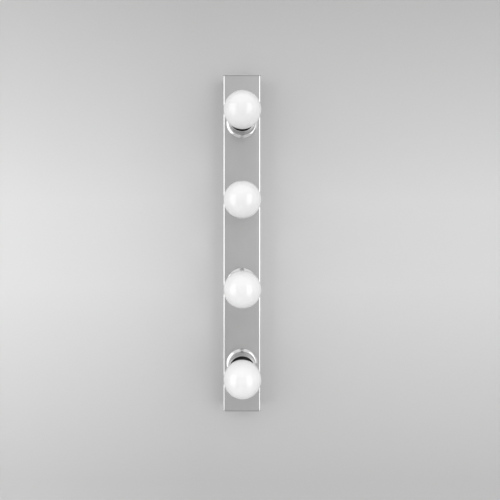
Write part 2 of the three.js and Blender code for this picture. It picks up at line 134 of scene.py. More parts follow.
BLOCK = Sizes(
    pitch=8, ridge=3.4, ridge_edge=1.2, valley=11, valley_edge=0.8, foot_edge=0.4, bore=1.9,
    bore_depth=8, well=1.6, well_offset=5, hole=1.7,
)
SLEEVE = Sizes(radius=1.85, bore=1.5, setback=1)
CLAMP = Sizes(radius=1.5, front=13, back=9.6, slot_reach=2, slot=0.25, slot_depth=0.8)
COVER_SCREW = Sizes(head_radius=3.8, head_height=2.2, shank_radius=1.95, pitch=0.7, length=9, hole=2.25)
EARTH_SCREW = Sizes(head_radius=3.6, head_height=2.4, shank_radius=1.9, pitch=0.5, hole=2.2)
BLOCK_SCREW = Sizes(head_radius=2.8, head_height=2, shank_radius=1.4, pitch=0.5)
TURN_STEPS = 128  # round a turned piece that shows
HIDDEN_STEPS = 64
CREASE = 35.0  # degrees between two faces that leave a sharp edge
PAST = 1  # how far a cutting tool runs past the solid


# ---- Node helpers -------------------------------------------------------------------------------
class Nodes:
    """A node tree, with short calls to add and join nodes."""

    def __init__(self, tree):
        self.tree = tree

    def add(self, kind, **settings):
        node = self.tree.nodes.new(kind)
        for key, value in settings.items():
            setattr(node, key, value)
        return node

    def join(self, source, target):
        self.tree.links.new(source, target)

    def maths(self, operation, first, second):
        """What an operation makes of two inputs, each a socket or a number."""
        node = self.add("ShaderNodeMath", operation=operation)
        for value, socket in zip((first, second), node.inputs):
            if isinstance(value, (int, float)):
                socket.default_value = value
            else:
                self.join(value, socket)
        return node.outputs["Value"]

    def split(self, vector):
        """A vector's three parts, by the name of the axis."""
        node = self.add("ShaderNodeSeparateXYZ")
        self.join(vector, node.inputs["Vector"])
        return node.outputs

    def spread(self, source, low, high, start=0.3, end=0.7):
        """A factor's range from start to end, as numbers from low to high."""
        node = self.add("ShaderNodeMapRange")
        node.inputs["From Min"].default_value = start
        node.inputs["From Max"].default_value = end
        node.inputs["To Min"].default_value = low
        node.inputs["To Max"].default_value = high
        self.join(source, node.inputs["Value"])
        return node.outputs["Result"]


class Shader(Nodes):
    """The nodes of a new material."""

    def __init__(self, name):
        self.material = bpy.data.materials.new(name)
        self.material.use_nodes = True
        super().__init__(self.material.node_tree)
        self.surface = self.tree.nodes["Principled BSDF"]
        self.output = self.tree.nodes["Material Output"]
        self.place = self.add("ShaderNodeTexCoord").outputs["Object"]

    def set(self, **values):
        for key, value in values.items():
            self.surface.inputs[key.replace("_", " ")].default_value = value

    def stretched(self, scale):
        mapping = self.add("ShaderNodeMapping")
        mapping.inputs["Scale"].default_value = scale
        self.join(self.place, mapping.inputs["Vector"])
        return mapping.outputs["Vector"]

    def noise(self, scale, detail=3.0, place=None):
        node = self.add("ShaderNodeTexNoise")
        node.inputs["Scale"].default_value = scale
        node.inputs["Detail"].default_value = detail
        self.join(place or self.place, node.inputs["Vector"])
        return node.outputs["Fac"]

    def ramp(self, source, low, high, start=0.3, end=0.7):
        """A factor's range from start to end, as colours from low to high."""
        node = self.add("ShaderNodeValToRGB")
        node.color_ramp.elements[0].position = start
        node.color_ramp.elements[0].color = colour(low)
        node.color_ramp.elements[1].position = end
        node.color_ramp.elements[1].color = colour(high)
        self.join(source, node.inputs["Fac"])
        return node.outputs["Color"]

    def bump(self, height, distance):
        node = self.add("ShaderNodeBump")
        node.inputs["Strength"].default_value = 1.0
        node.inputs["Distance"].default_value = distance
        self.join(height, node.inputs["Height"])
        self.join(node.outputs["Normal"], self.surface.inputs["Normal"])


def colour(value):
    if isinstance(value, (int, float)):
        return (value, value, value, 1.0)
    return (*value, 1.0)


# ---- Materials ----------------------------------------------------------------------------------
def even(scale):
    """A texture's scale, the same along X, Y and Z."""
    return (scale, scale, scale)


def add_texture(shader, roughness, texture, depth):
    """A fine texture, in roughness and bump. Its scale along X, Y and Z makes it even or a grain, and
    its depth is in metres."""
    grain = shader.noise(1.0, place=shader.stretched(texture))
    shader.join(shader.spread(grain, *roughness), shader.surface.inputs["Roughness"])
    shader.bump(grain, depth)


def finished(name, low, high, roughness, texture, depth, patches=25.0, metallic=0.0):
    """A surface with a fine texture, and with slow patches of tone from low to high."""
    shader = Shader(name)
    shader.set(Metallic=metallic)
    tone = shader.noise(patches, detail=4.0)
    shader.join(shader.ramp(tone, low, high), shader.surface.inputs["Base Color"])
    add_texture(shader, roughness, texture, depth)
    return shader


def metal(name, patches=14.0, **settings):
    return finished(name, patches=patches, metallic=1.0, **settings).material


def satin_metal():
    """Brushed along the bar, too finely to see from a distance."""
    return metal(
        "satin_metal",
        low=0.54,
        high=0.58,
        roughness=(0.34, 0.46),
        texture=(2400.0, 2400.0, 16.0),
        depth=1e-5,
    )


def polished_steel():
    return metal(
        "polished_steel",
        low=0.78,
        high=0.82,
        roughness=(0.1, 0.17),
        texture=(3000.0, 3000.0, 40.0),
        depth=1e-6,
    )


def chrome():
    return metal(
        "chrome",
        low=0.59,
        high=0.63,
        roughness=(0.03, 0.09),
        texture=even(500.0),
        depth=1.2e-6,
        patches=60.0,
    )


def zinc_steel():
    return metal(
        "zinc_steel",
        low=(0.5, 0.52, 0.54),
        high=(0.62, 0.63, 0.64),
        roughness=(0.3, 0.5),
        texture=even(300.0),
        depth=6e-6,
    )


def nickel_brass():
    return metal(
        "nickel_brass",
        low=(0.6, 0.57, 0.5),
        high=(0.74, 0.71, 0.64),
        roughness=(0.2, 0.3),
        texture=even(400.0),
        depth=1.2e-6,
    )


def spring_bronze():
    return metal(
        "spring_bronze",
        low=(0.5, 0.33, 0.15),
        high=(0.66, 0.46, 0.24),
        roughness=(0.24, 0.4),
        texture=even(700.0),
        depth=3e-6,
    )


def lamp_contact_tin():
    return metal(
        "lamp_contact",
        low=(0.44, 0.43, 0.4),
        high=(0.6, 0.58, 0.54),
        roughness=(0.3, 0.5),
        texture=even(500.0),
        depth=2e-5,
    )


def black_phenolic():
    shader = finished(
        "black_phenolic",
        low=0.004,
        high=0.01,
        roughness=(0.5, 0.62),
        texture=even(900.0),
        depth=1e-5,
    )
    shader.set(Specular_IOR_Level=0.3)
    return shader.material


def black_glass():
    return finished(
        "black_glass",
        low=0.004,
        high=0.01,
        roughness=(0.05, 0.14),
        texture=even(300.0),
        depth=4e-6,
    ).material


def white_housing():
    return finished(
        "white_housing",
        low=(0.78, 0.78, 0.77),
        high=(0.83, 0.83, 0.82),
        roughness=(0.3, 0.42),
        texture=even(1200.0),
        depth=6e-6,
    ).material


def terminal_nylon():
    shader = finished(
        "terminal_nylon",
        low=(0.72, 0.72, 0.68),
        high=(0.8, 0.8, 0.76),
        roughness=(0.38, 0.5),
        texture=even(800.0),
        depth=1e-5,
    )
    shader.set(Subsurface_Weight=0.2, Subsurface_Scale=0.002)
    return shader.material


def bushing_rubber():
    return finished(
        "bushing_rubber",
        low=0.02,
        high=0.035,
        roughness=(0.65, 0.85),
        texture=even(1500.0),
        depth=2e-5,
    ).material


def led_board_mask():
    return finished(
        "led_board",
        low=(0.72, 0.74, 0.72),
        high=(0.79, 0.81, 0.79),
        roughness=(0.3, 0.45),
        texture=even(700.0),
        depth=6e-6,
    ).material


def led_phosphor():
    return finished(
        "led_phosphor",
        low=(0.78, 0.62, 0.12),
        high=(0.86, 0.7, 0.2),
        roughness=(0.2, 0.3),
        texture=even(2500.0),
        depth=6e-6,
    ).material


def opal_diffuser():
    """Opal plastic under a clear gloss."""
    shader = finished(
        "opal_diffuser",
        low=0.85,
        high=0.87,
        roughness=(0.13, 0.19),
        texture=even(160.0),
        depth=4e-6,
        patches=18.0,
    )
    shader.set(Coat_Weight=1.0, Coat_Roughness=0.07)
    return shader.material


INSULATION = {"roughness": (0.4, 0.55), "texture": even(1800.0), "depth": 8e-6}


def live_insulation():
    brown = {"low": (0.12, 0.04, 0.015), "high": (0.17, 0.06, 0.025)}
    return finished("wire_live", **brown, **INSULATION, patches=80.0).material


def neutral_insulation():
    blue = {"low": (0.02, 0.1, 0.34), "high": (0.04, 0.15, 0.44)}
    return finished("wire_neutral", **blue, **INSULATION, patches=80.0).material


def earth_insulation():
    """Green with yellow stripes that run along the wire."""
    green = (0.08, 0.3, 0.03)
    yellow = (0.75, 0.62, 0.03)
    shader = Shader("wire_earth")
    across = shader.add("ShaderNodeTexWave", bands_direction="X")
    across.inputs["Scale"].default_value = 180.0
    across.inputs["Distortion"].default_value = 0.4
    shader.join(shader.place, across.inputs["Vector"])
    stripes = shader.ramp(across.outputs["Fac"], green, yellow, start=0.45, end=0.55)
    shader.join(stripes, shader.surface.inputs["Base Color"])
    add_texture(shader, **INSULATION)
    return shader.material


MATERIALS = {
    "satin_metal": satin_metal(),
    "polished_steel": polished_steel(),
    "chrome": chrome(),
    "zinc_steel": zinc_steel(),
    "black_phenolic": black_phenolic(),
    "black_glass": black_glass(),
    "nickel_brass": nickel_brass(),
    "spring_bronze": spring_bronze(),
    "opal_diffuser": opal_diffuser(),
    "white_housing": white_housing(),
    "led_board": led_board_mask(),
    "led_phosphor": led_phosphor(),
    "lamp_contact": lamp_contact_tin(),
    "bushing_rubber": bushing_rubber(),
    "terminal_nylon": terminal_nylon(),
    "wire_live": live_insulation(),
    "wire_neutral": neutral_insulation(),
    "wire_earth": earth_insulation(),
}


# ---- Mesh helpers. Sizes go in as millimetres. --------------------------------------------------
def mesh_object(name, verts, faces, materials, smooth_angle=CREASE):
    """A new object, smooth except where faces meet at more than the angle."""
    mesh = bpy.data.meshes.new(name)
    mesh.from_pydata([tuple(Vector(v) * MM) for v in verts], [], faces)
    outward = bmesh.new()
    outward.from_mesh(mesh)
    bmesh.ops.recalc_face_normals(outward, faces=outward.faces)
    outward.to_mesh(mesh)
    outward.free()
    for material in materials:
        mesh.materials.append(MATERIALS[material])
    made = bpy.data.objects.new(name, mesh)
    bpy.context.scene.collection.objects.link(made)
    smooth(made, smooth_angle)
    return made


def smooth(made, angle=CREASE):
    made.data.shade_smooth()
    made.data.set_sharp_from_angle(angle=math.radians(angle))


def rounded(corners, steps=4):
    """The points of a closed outline whose (x, y, fillet) corners are rounded."""
    points = []
    for i, (x, y, fillet) in enumerate(corners):
        here = Vector((x, y))
        if fillet == SHARP:
            points.append(here)
            continue
        back = (Vector(corners[i - 1][:2]) - here).normalized()
        ahead = (Vector(corners[(i + 1) % len(corners)][:2]) - here).normalized()
        half = back.angle(ahead) / 2
        centre = here + (back + ahead).normalized() * fillet / math.sin(half)
        first = here + back * fillet / math.tan(half) - centre
        last = here + ahead * fillet / math.tan(half) - centre
        sweep = math.atan2(first.x * last.y - first.y * last.x, first.dot(last))
        for step in range(steps + 1):
            points.append(centre + Matrix.Rotation(sweep * step / steps, 2) @ first)
    return points


def arc(centre_x, centre_y, radius, start, end, steps):
    """Points of an arc between two angles in degrees."""
    angles = [math.radians(start + (end - start) * i / steps) for i in range(steps + 1)]
    return [Vector((centre_x + radius * math.cos(a), centre_y + radius * math.sin(a))) for a in angles]


def climb(radius, bottom, top, steps):
    """Points up a straight wall, close enough together to carry a thread."""
    return [Vector((radius, bottom + (top - bottom) * i / steps)) for i in range(steps + 1)]


def lathe(name, profile, materials, steps=TURN_STEPS, swell=None, smooth_angle=CREASE):
    """A solid turned from (radius, height) points. Its height runs along -Y, out of the wall. swell
    adds to the radius, from the radius, the height and the angle from +X to +Z."""
    verts, rings, faces = [], [], []
    on_axis = profile[0][0] == 0
    for radius, height in profile:
        if radius == 0:
            rings.append([len(verts)] * steps)
            verts.append((0, -height, 0))
            continue
        rings.append(range(len(verts), len(verts) + steps))
        for i in range(steps):
            angle = 2 * math.pi * i / steps
            reach = radius + (swell(radius, height, angle) if swell else 0)
            verts.append((reach * math.cos(angle), -height, reach * math.sin(angle)))
    following = rings[1:] if on_axis else rings[1:] + rings[:1]
    for lower, upper in zip(rings, following):
        for i in range(steps):
            j = (i + 1) % steps
            face = tuple(dict.fromkeys((lower[i], lower[j], upper[j], upper[i])))
            if len(face) > 2:
                faces.append(face)
    return mesh_object(name, verts, faces, materials, smooth_angle)


def prism(name, outline, ends, materials, axis="Z"):
    """A solid from a closed outline, between two levels on an axis. An outline lies in (X, Y) for Z,
    in (X, Z) for Y and in (Y, Z) for X."""
    def place(point, level):
        a, b = point
        return {"Z": (a, b, level), "Y": (a, level, b), "X": (level, a, b)}[axis]

    count = len(outline)
    verts = [place(point, level) for level in sorted(ends) for point in outline]
    sides = [(i, (i + 1) % count, count + (i + 1) % count, count + i) for i in range(count)]
    faces = [tuple(range(count)), tuple(range(count, 2 * count)), *sides]
    return mesh_object(name, verts, faces, materials)


def block(name, low, high, materials=("zinc_steel",)):
    (x0, y0, z0), (x1, y1, z1) = low, high
    return prism(name, [(x0, y0), (x1, y0), (x1, y1), (x0, y1)], (z0, z1), materials)


def rod(name, radius, centre, axis, ends, materials=("zinc_steel",), steps=48):
    """A rod along an axis, centred on the other two coordinates."""
    outline = arc(*centre, radius, start=0, end=360 - 360 / steps, steps=steps - 1)
    return prism(name, outline, ends, materials, axis)


def apply_modifiers(made):
    """Turn what an object's modifiers make into its mesh."""
    bpy.context.view_layer.update()
    shaped = made.evaluated_get(bpy.context.evaluated_depsgraph_get())
    mesh = bpy.data.meshes.new_from_object(shaped)
    old = made.data
    made.modifiers.clear()
    made.data = mesh
    bpy.data.meshes.remove(old)
    mesh.name = made.name


def combine(made, others, operation):
    """Join the others to a solid, or cut them out of it, and delete them."""
    for other in others:
        boolean = made.modifiers.new("shape", "BOOLEAN")
        boolean.operation = operation
        boolean.solver = "EXACT"
        boolean.object = other
    apply_modifiers(made)
    for other in others:
        bpy.data.objects.remove(other)
    return made


def soften(made, width, segments=2):
    """Round a solid's edges over."""
    bevel = made.modifiers.new("edges", "BEVEL")
    bevel.width = width * MM
    bevel.segments = segments
    bevel.limit_method = "ANGLE"
    bevel.angle_limit = math.radians(CREASE)
    bevel.harden_normals = True
    smooth(made)
    return made


def give_second_material(made, chosen):
    """Put a piece's second material on the faces that are chosen."""
    for face in made.data.polygons:
        face.material_index = int(chosen(face))


def faces_out(face):
    """Whether a face looks out of the wall, along -Y."""
    return face.normal.y < -0.9


def finish(made, body, slot, *nodes):
    """Let a piece ride on a body and stand for CAD nodes, which it hides. slot is not used."""
    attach(made, body)
    if nodes:
        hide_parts(*nodes)
    return made


def stand(made, y, z):
    """Stand a piece on the bar's middle line, at a depth and a height."""
    made.location = (0, y * MM, z * MM)
    return made


def at_station(made, number):
    return stand(made, FACE, STATIONS[number])


# ---- Housing: channel, end caps and wall plate --------------------------------------------------
def bar_outline(inset, back, steps=10):
    """The bar's section in plan: an open line round its rounded front, inset from the bar's own."""
    side = HALF_WIDTH - inset
    front = FACE + inset
    radius = CORNER - inset
    left = arc(-side + radius, front + radius, radius, start=180, end=270, steps=steps)
    right = arc(side - radius, front + radius, radius, start=270, end=360, steps=steps)
    return [Vector((-side, back)), *left, *right, Vector((side, back))]


def folded_sheet(name, inset, back, ends, materials):
    outer = bar_outline(inset, back)
    inner = bar_outline(inset + SHEET, back)
    return prism(name, outer + inner[::-1], ends, materials)


def on_outside_bend(face):
    """Whether a face is on the outside of one of the channel's two rounded long edges."""
    flat = 0.02
    return face.normal.x * face.center.x > 0 and flat < abs(face.normal.x) < 1 - flat


def front_channel():
    ends = (channel_low.z, channel_high.z)
    finishes = ["satin_metal", "polished_steel"]
    made = folded_sheet("channel_body", 0, channel_high.y, ends, finishes)
    give_second_material(made, on_outside_bend)
    through = (FACE - PAST, FACE + SHEET + PAST)
    holes = [rod(f"hole_{n}", HOLE_RADIUS, (0, z), "Y", through) for n, z in STATIONS.items()]
    combine(made, holes, "DIFFERENCE")
    soften(made, width=0.15)
    return finish(made, "fixture", "satin_metal", "front_channel")


def polish_rim(made, level, radius):
    """Round a solid's edges at a level on Z, and put its second material on them."""
    near = 1e-6
    shaped = bmesh.new()
    shaped.from_mesh(made.data)
    rim = [edge for edge in shaped.edges if all(abs(v.co.z - level) < near for v in edge.verts)]
    bmesh.ops.bevel(shaped, geom=rim, offset=radius, segments=6, profile=0.5, affect="EDGES", material=1)
    shaped.to_mesh(made.data)
    shaped.free()


def end_cap(where, side):
    low, high = box_mm(f"end_cap_{where}")
    outer = max(high.z, -low.z)
    inner = outer - END_PLATE
    inside = min(low.z, high.z, key=abs)
    plate_ends = (side * inner, side * outer)
    finishes = ["satin_metal", "polished_steel"]
    made = prism(f"end_plate_{where}", bar_outline(inset=0, back=high.y), plate_ends, finishes)
    polish_rim(made, side * outer * MM, END_RIM * MM)
    overlap = END_PLATE / 2
    flange_ends = (side * (inner + overlap), inside)
    flange = folded_sheet(f"flange_{where}", SHEET + GAP, high.y - GAP, flange_ends, ["satin_metal"])
    combine(made, [flange], "UNION")
    screw_line = (0, middle_mm(f"cover_screw_{where}").y)
    through = (side * (inner - PAST), side * (outer + PAST))
    hole = rod(f"cap_hole_{where}", COVER_SCREW.hole, screw_line, "Z", through)
    combine(made, [hole], "DIFFERENCE")
    soften(made, width=0.25, segments=3)
    return finish(made, "fixture", "satin_metal", f"end_cap_{where}")


def slot_outline(height):
    reach = SLOT.length / 2 - SLOT.radius
    upper = arc(0, height + reach, SLOT.radius, start=0, end=180, steps=16)
    lower = arc(0, height - reach, SLOT.radius, start=180, end=360, steps=16)
    return upper + lower


def plate_tab(side, outer):
    """The bent end of the wall plate, which takes a cover screw."""
    foot = side * TAB.root
    top = side * outer
    under = side * (outer - TAB.sheet)
    section = rounded([
        (0, foot, SHARP), (0, top, TAB.bend), (-TAB.depth, top, EASED), (-TAB.depth, under, EASED),
        (-PLATE.sheet, under, PLATE.inner_bend), (-PLATE.sheet, foot, SHARP),
    ], steps=6)
    return prism(f"plate_tab_{foot}", section, (-TAB.half_width, TAB.half_width), ["zinc_steel"], "X")


def wall_plate_sheet(half, outer):
    """The flanged plate with its tabs, before anything is cut out of it."""
    inside = half - PLATE.sheet
    section = rounded([
        (-half, -PLATE.flange_height, EASED), (-half, 0, PLATE.bend), (half, 0, PLATE.bend),
        (half, -PLATE.flange_height, EASED), (inside, -PLATE.flange_height, EASED),
        (inside, -PLATE.sheet, PLATE.inner_bend), (-inside, -PLATE.sheet, PLATE.inner_bend),
        (-inside, -PLATE.flange_height, EASED),
    ], steps=6)
    flanged = (-PLATE.flange_reach, PLATE.flange_reach)
    made = prism("plate_body", section, flanged, ["zinc_steel"])
    flat = outer - TAB.bend
    sheet = rounded([
        (-inside, -flat, PLATE.corner), (inside, -flat, PLATE.corner),
        (inside, flat, PLATE.corner), (-inside, flat, PLATE.corner),
    ], steps=8)
    strip = prism("plate_strip", sheet, (-PLATE.sheet, 0), ["zinc_steel"], "Y")
    return combine(made, [strip, *(plate_tab(side, outer) for side in (1, -1))], "UNION")


def wall_plate_tools(half, outer):
    """What is cut out of the wall plate: slots, notches at its flanges' ends, and round holes."""
    through = (-2 * PLATE.sheet, PLATE.sheet)
    tools = [
        prism(f"slot_{side}", slot_outline(side * SLOT.offset), through, ["zinc_steel"], "Y")
        for side in (1, -1)
    ]
    tools += [
        rod(f"notch_{x}_{z}", PLATE.notch, (x * half, z * PLATE.notch_reach), "Y", through)
        for x in (1, -1)
        for z in (1, -1)
    ]
    tools.append(rod("cable_hole", CABLE_HOLE, (0, middle_mm("cable_bushing").z), "Y", through))
    tools.append(rod("earth_hole", EARTH_SCREW.hole, (0, middle_mm("earth_screw").z), "Y", through))
    block_screw = middle_mm("terminal_block_screw")
    tools.append(rod("block_hole", BLOCK.hole, (block_screw.x, block_screw.z), "Y", through))
    screw_line = (0, middle_mm("cover_screw_top").y)
    tools.append(rod("tab_holes", COVER_SCREW.hole, screw_line, "Z", (-outer - PAST, outer + PAST)))
    return tools


def wall_plate():
    corner = box_mm("wall_plate")[1]
    made = wall_plate_sheet(corner.x, corner.z)
    combine(made, wall_plate_tools(corner.x, corner.z), "DIFFERENCE")
    soften(made, width=0.2)
    return finish(made, "fixture", "zinc_steel", "wall_plate")


# ---- Screws -------------------------------------------------------------------------------------
def cross_outline(reach, half_width):
    arm = [Vector((half_width, half_width)), Vector((half_width, reach)), Vector((-half_width, reach))]
    return [Matrix.Rotation(math.pi / 2 * turn, 2) @ point for turn in range(4) for point in arm]


def pan_head_screw(name, screw, length, materials):
    """A screw with its head out along -Y, its threaded shank the other way and a cross recess."""
    chamfer = screw.shank_radius * 0.4
    edge = 0.15
    side = screw.head_height * 0.45
    crown = screw.head_height - side
    quarter = arc(0, 0, 1, start=0, end=80, steps=8)
    dome = [(screw.head_radius * point.x, side + crown * point.y) for point in quarter]
    shank = climb(screw.shank_radius, bottom=chamfer - length, top=-0.2, steps=72)
    profile = [
        (0, -length), (screw.shank_radius - chamfer, -length), *shank,
        (screw.head_radius - edge, 0), (screw.head_radius, edge), *dome, (0, screw.head_height),
    ]
    wave = thread_wave(bottom=-length, top=0, pitch=screw.pitch, depth=screw.pitch * 0.45)
    made = lathe(name, profile, materials, HIDDEN_STEPS, lambda r, h, a: wave(h, a) if h < 0 else 0)
    cross = cross_outline(reach=screw.head_radius * 0.6, half_width=screw.head_radius * 0.13)
    recess_floor = screw.head_height * 0.35
    recess_ends = (-screw.head_height - PAST, -recess_floor)
    recess = prism(f"{name}_recess", cross, recess_ends, materials, "Y")
    return combine(made, [recess], "DIFFERENCE")


def cover_screw(where, side):
    low, high = box_mm(f"cover_screw_{where}")
    made = pan_head_screw(f"cover_screw_body_{where}", COVER_SCREW, COVER_SCREW.length, ["chrome"])
    made.rotation_euler = (-side * math.pi / 2, 0, 0)
    tip = max(high.z, -low.z)
    closer = GAP * 0.8  # of the CAD's gap between the head and the end cap
    stand(made, (low.y + high.y) / 2, side * (tip - COVER_SCREW.head_height - closer))
    return finish(made, "fixture", "chrome", f"cover_screw_{where}")


def plate_screw(node, screw):
    low, high = box_mm(node)
    length = high.y - low.y - screw.head_height
    made = pan_head_screw(f"{node}_body", screw, length, ["zinc_steel"])
    made.location = Vector(((low.x + high.x) / 2, low.y + screw.head_height, (low.z + high.z) / 2)) * MM
    return finish(made, "fixture", "zinc_steel", node)


# ---- Lamp stations ------------------------------------------------------------------------------
def thread_wave(bottom, top, pitch, depth):
    """How far a right-handed helical thread stands out at a height and an angle, from -depth to 0.
    It fades away over one pitch at each end."""
    def wave(height, angle):
        fade = min(1, max(0, (height - bottom) / pitch), max(0, (top - height) / pitch))
        phase = 2 * math.pi * height / pitch - angle
        return -depth * fade * (0.5 - 0.5 * math.cos(phase))
    return wave


def cup(number):
    foot_reach = CUP.foot_curve * math.cos(math.radians(CUP.foot_from))
    foot_rise = CUP.foot_curve * math.sin(math.radians(CUP.foot_from))
    foot_centre = (CUP.foot_radius - foot_reach, CUP.foot_edge - foot_rise)
    inside = CUP.wall_radius - SHEET
    floor = GAP + SHEET
    dome = arc(*foot_centre, CUP.foot_curve, CUP.foot_from, CUP.foot_to, steps=12)
    wall = rounded([
        (dome[-1].x, dome[-1].y, SHARP), (CUP.wall_radius, CUP.wall_start, EASED),
        (CUP.mouth_radius, CUP.height, CUP.lip), (CUP.mouth_radius - SHEET, CUP.height, CUP.lip),
        (inside, CUP.wall_start, SHARP), (inside, floor, CUP.inner_bend), (HOLE_RADIUS, floor, FINE),
        (HOLE_RADIUS, CUP.seat, FINE), (CUP.foot_radius, CUP.seat, FINE), (dome[0].x, dome[0].y, SHARP),
    ])
    made = lathe(f"cup_shell_{number}", [*dome[:-1], *wall[:-1]], ["chrome"])
    return finish(at_station(made, number), "fixture", "chrome", f"cup_{number}")


def lampholder(number):
    wave = thread_wave(-HOLDER.rear, -SHEET, HOLDER.thread_pitch, HOLDER.thread_depth)
    between = (HOLDER.rear_bore + HOLDER.thread_radius) / 2
    lower = rounded([
        (0, -HOLDER.floor, SHARP), (HOLDER.rear_bore, -HOLDER.floor, EASED),
        (HOLDER.rear_bore, -HOLDER.rear, EASED), (HOLDER.thread_radius, -HOLDER.rear, HOLDER.edge),
        (HOLDER.thread_radius, 0, SHARP),
    ])
    groove = HOLDER.rim - HOLDER.groove_depth
    upper = rounded([
        (HOLDER.thread_radius, HOLDER.shoulder, SHARP), (HOLDER.radius, HOLDER.shoulder, HOLDER.edge),
        (HOLDER.radius, HOLDER.rim, HOLDER.rim_edge),
        (HOLDER.groove_out, HOLDER.rim, HOLDER.groove_edge), (HOLDER.groove_out, groove, FINE),
        (HOLDER.groove_in, groove, FINE), (HOLDER.groove_in, HOLDER.rim, HOLDER.groove_edge),
        (HOLDER.bore, HOLDER.rim, HOLDER.bore_edge), (HOLDER.bore, 0, HOLDER.bore_edge), (0, 0, SHARP),
    ])
    thread_start = 1 - HOLDER.rear
    threads = climb(HOLDER.thread_radius, thread_start, -SHEET, steps=80)
    made = lathe(
        f"lampholder_body_{number}",
        [*lower[:-1], *threads, *upper],
        ["black_phenolic"],
        swell=lambda r, h, a: wave(h, a) if r > between else 0,
    )
    return finish(at_station(made, number), "fixture", "black_phenolic", f"lampholder_{number}")


def lampholder_nut(number):
    corners = arc(0, 0, NUT.across_corners / 2, start=0, end=300, steps=5)
    hexagon = rounded([(x, y, NUT.corner) for x, y in corners])
    front = SHEET + GAP
    back = front + NUT.thickness
    made = prism(f"ring_nut_{number}", hexagon, (front, back), ["black_phenolic"], "Y")
    through = (front - PAST, back + PAST)
    combine(made, [rod("nut_bore", NUT.bore, (0, 0), "Y", through, steps=HIDDEN_STEPS)], "DIFFERENCE")
    soften(made, width=0.6)
    return finish(at_station(made, number), "fixture", "black_phenolic", f"lampholder_nut_{number}")


def lampholder_shell(number):
    """Its thread bulges out where the lamp cap's does, so that the lamp screws through it."""
    start, end = SHELL.thread_from, SHELL.thread_to
    wave = thread_wave(start, end, THREAD.pitch, THREAD.depth)
    outside = SHELL.bore + SHELL.sheet

    def swell(radius, height, angle):
        if not start < height < end or radius < SHELL.bore:
            return 0
        fade = min(1, (height - start) / THREAD.pitch, (end - height) / THREAD.pitch)
        return fade * THREAD.depth + wave(height, angle)

    outer_wall = climb(outside, SHELL.wall_from, SHELL.wall_to, steps=90)
    inner_wall = climb(SHELL.bore, SHELL.wall_to, SHELL.wall_from, steps=90)
    floor = GAP + SHELL.sheet
    profile = [
        (SHELL.hole, GAP), (outside, GAP), *outer_wall, (outside, SHELL.height),
        (SHELL.bore, SHELL.height), *inner_wall, (SHELL.bore, floor), (SHELL.hole, floor),
    ]
    made = lathe(f"shell_{number}", profile, ["nickel_brass"], steps=HIDDEN_STEPS, swell=swell)
    return finish(at_station(made, number), "fixture", "nickel_brass", f"lampholder_shell_{number}")


def lampholder_contact(number):
    """A bent strip that rises from the lampholder's floor to the lamp's end contact."""
    line = [
        (STRIP.start, STRIP.low, SHARP), (STRIP.ramp_from, STRIP.low, STRIP.ramp_bend),
        (STRIP.ramp_to, STRIP.high, STRIP.ramp_bend), (STRIP.crown_end, STRIP.high, STRIP.crown_bend),
        (STRIP.tail, STRIP.high - STRIP.tail_drop, SHARP),
    ]
    under = [(x, height - STRIP.sheet, fillet) for x, height, fillet in reversed(line)]
    outline = [(x, -height) for x, height in rounded(line + under)]
    half = STRIP.width / 2
    made = prism(f"contact_strip_{number}", outline, (-half, half), ["spring_bronze"])
    soften(made, width=0.1)
    return finish(at_station(made, number), "fixture", "spring_bronze", f"lampholder_contact_{number}")


# ---- Lamps --------------------------------------------------------------------------------------
def globe(number):
    inner = GLOBE.radius - GLOBE.wall
    drop = GLOBE.centre - GLOBE.rim
    outer_rim = -math.degrees(math.asin(drop / GLOBE.radius))
    inner_rim = -math.degrees(math.asin(drop / inner))
    outside = arc(0, GLOBE.centre, GLOBE.radius, start=outer_rim, end=90, steps=56)
    inside = arc(0, GLOBE.centre, inner, start=90, end=inner_rim, steps=40)
    outside[-1].x = inside[0].x = 0
    made = lathe(f"globe_shell_{number}", [*inside, *outside], ["opal_diffuser"], smooth_angle=50)
    return finish(at_station(made, number), f"lamp_{number}", "opal_diffuser", f"globe_{number}")


def lamp_collar(number):
    """A white housing that flares from the cap to the globe's rim, hollow, with a ledge inside."""
    inside = COLLAR.rim - COLLAR.wall
    neck_bore = COLLAR.neck - COLLAR.wall
    profile = rounded([
        (neck_bore, COLLAR.neck_foot, EASED), (COLLAR.neck, COLLAR.neck_foot, EASED),
        (COLLAR.neck, COLLAR.shoulder, FINE),
        (COLLAR.shoulder_radius, COLLAR.shoulder, COLLAR.shoulder_edge),
        (COLLAR.throat, COLLAR.throat_height, COLLAR.throat_curve),
        (COLLAR.waist, COLLAR.waist_height, COLLAR.waist_curve),
        (COLLAR.flare, COLLAR.flare_top, COLLAR.flare_curve),
        (COLLAR.rim, COLLAR.top, EASED), (inside, COLLAR.top, EASED), (inside, LEDGE.height, FINE),
        (LEDGE.radius, LEDGE.height, EASED), (LEDGE.radius, COLLAR.flare_top, EASED),
        (COLLAR.waist - COLLAR.waist_wall, COLLAR.waist_height, COLLAR.flare_curve),
        (neck_bore, COLLAR.shoulder_inside, COLLAR.throat_curve),
    ], steps=6)
    made = lathe(f"collar_{number}", profile, ["white_housing"])
    return finish(at_station(made, number), f"lamp_{number}", "white_housing", f"lamp_collar_{number}")


